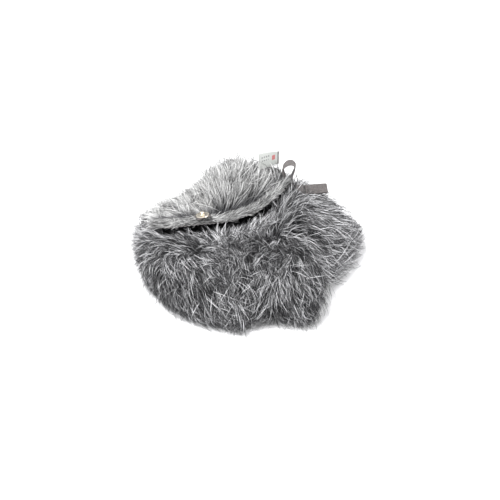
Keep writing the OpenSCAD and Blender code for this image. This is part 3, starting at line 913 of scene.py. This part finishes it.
YARN = spun_group()
hem_knit = textured("rolled_knit", KNIT, 1.4, (0.05, 0.045, 0.046), (0.17, 0.16, 0.16), 0.9, 0.4, sheen=0.2)
grey_thread = textured("grey_thread", YARN, 1.0, (0.13, 0.12, 0.12), (0.36, 0.34, 0.34),
    0.75, 0.12, sheen=0.2)
pale_thread = textured("pale_thread", YARN, 1.0, (0.30, 0.28, 0.28), (0.62, 0.60, 0.59),
    0.75, 0.12, sheen=0.2)
elastic = textured("black_elastic", YARN, 0.8, (0.015, 0.015, 0.016), (0.04, 0.04, 0.042), 0.7, 0.1)
hem("upper", "upper_lip", 51)
hem("lower", "cover", 52)

# --- Press stud ------------------------------------------------------------------------
# A warm nickel press stud: the male half is riveted through a woven tab on the upper hem,
# and the female half with its spring wires hangs on a patch under the lower lip.
def nickel_group():
    """Plated metal: fine tumbling marks as a height, and a faint uneven tarnish."""
    group, inputs, outputs = finish_group("plated_metal",
        [("Height", "NodeSocketFloat"), ("Tone", "NodeSocketFloat")])
    place = scaled_place(group, inputs, 1000)
    marks = group.nodes.new("ShaderNodeTexNoise")
    marks.inputs["Scale"].default_value = 2.5
    marks.inputs["Detail"].default_value = 6
    tone = group.nodes.new("ShaderNodeTexNoise")
    tone.inputs["Scale"].default_value = 0.6
    tone.inputs["Detail"].default_value = 2
    for node in (marks, tone):
        group.links.new(place, node.inputs["Vector"])
    group.links.new(marks.outputs["Fac"], outputs.inputs["Height"])
    group.links.new(tone.outputs["Fac"], outputs.inputs["Tone"])
    return group


nickel = textured("warm_nickel", nickel_group(), 1.0, (0.62, 0.55, 0.45), (0.92, 0.87, 0.77),
    0.24, 0.03, metal=1.0)
for name in ("snap_stud", "snap_stud_eyelet", "snap_socket", "snap_socket_eyelet", "snap_socket_spring"):
    dress(NODES[name], nickel)


def webbing_group():
    """Woven webbing: ribs and picks as a height, and threads of two tones."""
    group, inputs, outputs = finish_group("woven_ribs",
        [("Height", "NodeSocketFloat"), ("Tone", "NodeSocketFloat")])
    place = scaled_place(group, inputs, 1000)
    picks = group.nodes.new("ShaderNodeTexWave")
    picks.inputs["Scale"].default_value = 0.5
    picks.inputs["Distortion"].default_value = 0.8
    ends = group.nodes.new("ShaderNodeTexWave")
    ends.bands_direction = "Y"
    ends.inputs["Scale"].default_value = 0.45
    ends.inputs["Distortion"].default_value = 0.6
    both = group.nodes.new("ShaderNodeMath")
    both.operation = "MAXIMUM"
    mottle = group.nodes.new("ShaderNodeTexNoise")
    mottle.inputs["Scale"].default_value = 0.9
    mottle.inputs["Detail"].default_value = 5
    for node in (picks, ends, mottle):
        group.links.new(place, node.inputs["Vector"])
    group.links.new(picks.outputs["Fac"], both.inputs[0])
    group.links.new(ends.outputs["Fac"], both.inputs[1])
    group.links.new(both.outputs[0], outputs.inputs["Height"])
    group.links.new(mottle.outputs["Fac"], outputs.inputs["Tone"])
    return group


WOVEN = webbing_group()
webbing = textured("brown_grey_webbing", WOVEN, 1.0, (0.05, 0.045, 0.045), (0.20, 0.18, 0.175),
    0.7, 0.25, sheen=0.15)
softened("snap_stud_tab", webbing, "upper_lip", 0.3, 0.12)
softened("snap_socket_patch", webbing, "cover", 0.3, 0.12)

# --- Loops -----------------------------------------------------------------------------
# Two loops of narrow ribbed webbing at the mouth's right end, folded and bar-tacked: one
# stands up with an open eye, and the other lies nearly flat with its end pressed together.
RIBS = 5


def ribbon(name, line, across, width, thickness):
    """Webbing along a line: ribbed faces, soft edges, and its thickness square to its width."""
    t = unit(np.gradient(line, axis=0))
    across = unit(across - t * (across * t).sum(1, keepdims=True))
    out = np.cross(t, across)
    u = np.linspace(-1, 1, 4 * RIBS + 1)
    rib = 0.5 * thickness * (0.80 + 0.20 * np.cos(u * math.pi * RIBS))
    rib = rib * np.sqrt((1.04 - u ** 6).clip(0.05, 1))
    profile = np.concatenate([np.stack([u, rib], 1), np.stack([u[::-1], -rib[::-1]], 1)])
    verts = line[:, None] + across[:, None] * (profile[:, 0] * width / 2)[None, :, None]
    verts = (verts + out[:, None] * profile[:, 1][None, :, None]).reshape(-1, 3)
    obj = swept(name, verts, len(line), len(profile))
    dress(obj, webbing)
    return obj


def smooth_line(corners, step):
    """A rounded line through its corner points, evenly spaced."""
    corners = np.array(corners, float)
    along = np.concatenate([[0], np.cumsum(np.linalg.norm(np.diff(corners, axis=0), axis=1))])
    even = np.linspace(0, along[-1], int(along[-1] / step) + 1)
    line = np.stack([np.interp(even, along, corners[:, i]) for i in range(3)], 1)
    for _ in range(6):
        line[1:-1] = (line[:-2] + 2 * line[1:-1] + line[2:]) / 4
    return line


def hinge_of(name):
    """Where a joint of the record lies, in millimetres, and its axis."""
    joint = next(j for j in frame["record"]["behaviour"]["joints"] if j["name"] == name)
    return np.array(joint["pos_m"]) / MM, np.array(joint["axis"])


def pull_loop():
    low, high = (np.array(v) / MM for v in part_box("pull_loop"))
    x, y = (low[0] + high[0]) / 2, (low[1] + high[1]) / 2
    r = (high[0] - low[0]) / 2 - 0.6
    top = high[2] - 0.6 - r
    around = np.radians(np.linspace(-20, 200, 23))
    left_foot, right_foot = [x - 0.9, y, low[2] + 1.2], [x + 0.9, y, low[2] + 1.2]
    arc = [[x + r * math.cos(a), y, top + r * math.sin(a)] for a in around]
    line = smooth_line([right_foot] + arc + [left_foot], 0.5)
    lean = (line[:, 2] - low[2]) / (high[2] - low[2])
    across = np.stack([0.55 * np.sin(lean * 2.4), np.ones(len(line)), 0 * lean], 1)
    loop = ribbon("pull_loop_ribbon", line, across, high[1] - low[1] - 0.6, 1.15)
    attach(loop, "pull_loop")
    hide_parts("pull_loop")


def side_loop():
    root, axis = hinge_of("side_loop_lift")
    width = -axis
    length = 19.6
    run = unit(np.array([1.0, 0, 0]) - width * width[0])
    rise = np.cross(run, width)
    shape = [[-0.8, 0.62], [4, 0.66], [10, 0.9], [15, 1.1], [length - 0.8, 1.0], [length, 0],
        [length - 0.8, -1.0], [15, -1.1], [10, -0.9], [4, -0.66], [-0.8, -0.62]]
    line = smooth_line([root + run * a + rise * b for a, b in shape], 0.4)
    loop = ribbon("side_loop_ribbon", line, np.repeat(width[None], len(line), 0), 8.6, 1.1)
    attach(loop, "side_loop")
    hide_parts("side_loop")


pull_loop()
side_loop()
softened("pull_loop_anchor", webbing, "cover", 0.3, 0.1)
softened("side_loop_anchor", webbing, "cover", 0.3, 0.1)
for name in ("pull_loop_bar_tack", "side_loop_bar_tack", "label_stitching"):
    dress(NODES[name], grey_thread)

# --- Folded label ----------------------------------------------------------------------
# A strip of white woven satin, folded at the top and sewn into the seam by its two ends.
# Its face has plain woven marks: two rows of grey dashes, a small red bar and a dark edge.
def satin_material():
    mat = bpy.data.materials.new("label_satin_weave")
    mat.use_nodes = True
    tree = mat.node_tree
    bsdf = tree.nodes["Principled BSDF"]
    uv = tree.nodes.new("ShaderNodeUVMap")
    uv.uv_map = "cut"
    split = tree.nodes.new("ShaderNodeSeparateXYZ")
    tree.links.new(uv.outputs["UV"], split.inputs[0])

    def math_node(kind, a, b, c=None):
        node = tree.nodes.new("ShaderNodeMath")
        node.operation = kind
        for socket, value in zip(node.inputs, (a, b, c)):
            if isinstance(value, (int, float)):
                socket.default_value = value
            elif value is not None:
                tree.links.new(value, socket)
        return node.outputs[0]

    def near(value, centre, reach):
        return math_node("COMPARE", value, centre, reach)

    def both(a, b):
        return math_node("MULTIPLY", a, b)

    across, down = split.outputs["X"], split.outputs["Y"]
    dash = math_node("LESS_THAN", math_node("FRACT", math_node("MULTIPLY", across, 9.0), 0), 0.55)
    rows = math_node("ADD", both(near(down, 0.70, 0.05), near(across, 0.33, 0.22)),
        both(near(down, 0.50, 0.04), near(across, 0.30, 0.18)))
    grey = both(both(dash, rows), 0.75)
    red = both(near(down, 0.52, 0.14), near(across, 0.72, 0.08))
    edge = math_node("GREATER_THAN", across, 0.93)

    def tint(color, mask, base):
        mix = tree.nodes.new("ShaderNodeMix")
        mix.data_type = "RGBA"
        mix.inputs["B"].default_value = (*color, 1)
        if isinstance(base, tuple):
            mix.inputs["A"].default_value = (*base, 1)
        else:
            tree.links.new(base, mix.inputs["A"])
        tree.links.new(mask, mix.inputs["Factor"])
        return mix.outputs["Result"]

    cloth = tree.nodes.new("ShaderNodeGroup")
    cloth.node_tree = WOVEN
    cloth.inputs["Scale"].default_value = 2.2
    base = tint((0.74, 0.76, 0.73), cloth.outputs["Tone"], (0.60, 0.62, 0.60))
    base = tint((0.16, 0.16, 0.17), grey, base)
    base = tint((0.62, 0.20, 0.20), red, base)
    base = tint((0.05, 0.035, 0.035), edge, base)
    tree.links.new(base, bsdf.inputs["Base Color"])
    relief = tree.nodes.new("ShaderNodeBump")
    relief.inputs["Distance"].default_value = 0.06 * MM
    tree.links.new(cloth.outputs["Height"], relief.inputs["Height"])
    tree.links.new(relief.outputs["Normal"], bsdf.inputs["Normal"])
    bsdf.inputs["Roughness"].default_value = 0.45
    bsdf.inputs["Sheen Weight"].default_value = 0.2
    return mat


def label():
    """The folded strip, a little bowed, with its top fold running down to the right."""
    _, high = (np.array(v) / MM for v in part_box("label"))
    foot, run = hinge_of("label_sway")
    forward = np.array([run[1], -run[0], 0])
    width, height = 19.4, high[2] - foot[2] - 0.3
    across, around = np.linspace(-0.5, 0.5, 25), np.linspace(-1, 1, 41)
    verts, uv = [], []
    for v in around:
        for u in across:
            tall = height * (1 - 0.22 * (u + 0.5) ** 2)
            z = tall * (1 - abs(v) ** 3.0) if abs(v) < 0.15 else tall * min(1.0, (1 - abs(v)) * 1.17)
            gap = 0.45 * math.sin(min(1, abs(v) * 6) * math.pi / 2) * (1 if v > 0 else -1)
            bow = 0.9 * math.sin(u * math.pi) * z / height + 0.35 * math.sin(3 * u + z * 0.3)
            verts.append(foot + run * u * width + forward * (gap + bow * 0.7) + np.array([0, 0, z]))
            uv.append((u + 0.5, z / height))
    n = len(across)
    faces = [(k * n + j, k * n + j + 1, (k + 1) * n + j + 1, (k + 1) * n + j)
        for k in range(len(around) - 1) for j in range(n - 1)]
    mesh = bpy.data.meshes.new("label_strip")
    mesh.from_pydata([tuple(q * MM) for q in verts], [], faces)
    layer = mesh.uv_layers.new(name="cut")
    for loop in mesh.loops:
        layer.data[loop.index].uv = uv[loop.vertex_index]
    obj = new_piece("label_strip", mesh)
    dress(obj, satin_material())
    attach(obj, "label")
    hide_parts("label")


label()
